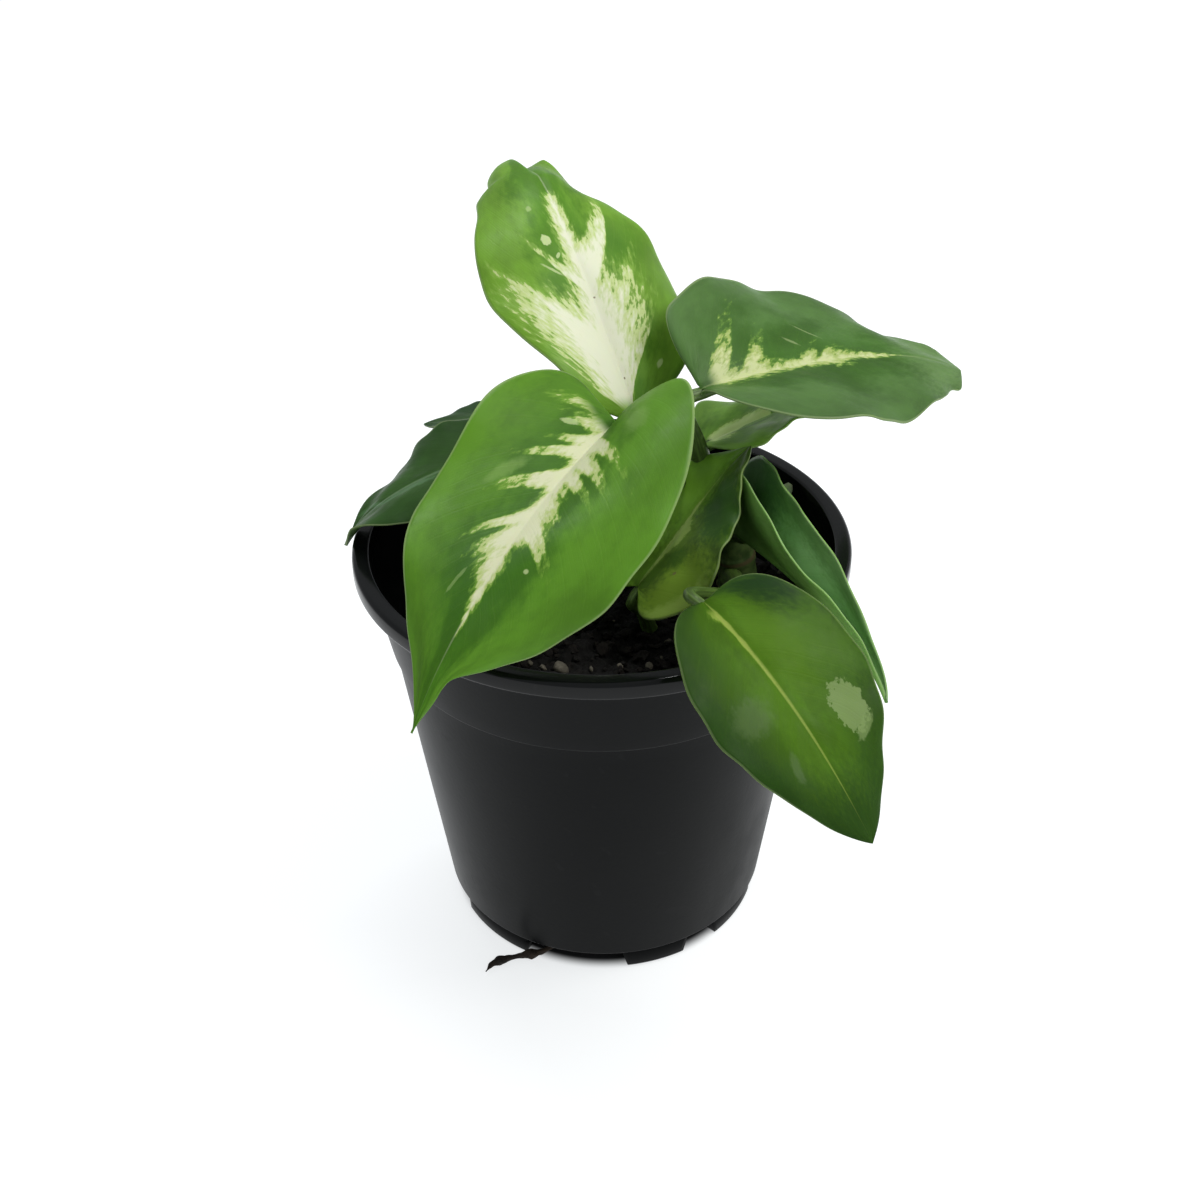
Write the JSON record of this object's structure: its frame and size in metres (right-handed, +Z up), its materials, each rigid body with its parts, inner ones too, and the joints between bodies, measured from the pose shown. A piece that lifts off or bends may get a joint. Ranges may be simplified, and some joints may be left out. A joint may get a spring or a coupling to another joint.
{
  "type": "potted dieffenbachia",
  "caption": "Young variegated foliage plant with broad pointed leaves on arching stalks, in a round tapered nursery pot with a rolled lip and feet, filled with soil.",
  "frame": {"origin": "centre of the pot's underside, on the surface that its feet stand on", "axes": "+Z up along the pot's axis, -Y towards the front where the largest leaf hangs over the rim, +X to the right seen from the front"},
  "size_m": [0.1337, 0.1404, 0.1535],
  "materials": {
    "pot_plastic": "satin black, smooth",
    "soil": "dark moist peat with pale perlite crumbs",
    "root": "dry brown root",
    "stem": "smooth green, ringed",
    "leaf_pale": "satin, cream centre with green margin",
    "leaf_bright": "satin, cream feathering along the midrib",
    "leaf_mid": "satin, yellow green along the midrib",
    "leaf_dark": "satin, dark green",
    "cut_stalk": "pale green, cut end"
  },
  "bodies": {
    "root": {"pot": "pot_plastic", "soil": "soil", "roots": "root", "stem": "stem", "leaf_top": "leaf_pale", "leaf_large_front": "leaf_bright", "leaf_right": "leaf_dark", "leaf_small_right": "leaf_mid", "leaf_low_upright": "leaf_mid", "leaf_folded_right": "leaf_dark", "leaf_low_front": "leaf_mid", "leaf_left": "leaf_dark", "leaf_back_left": "leaf_dark", "leafstalk_stub": "cut_stalk"}
  },
  "joints": []
}
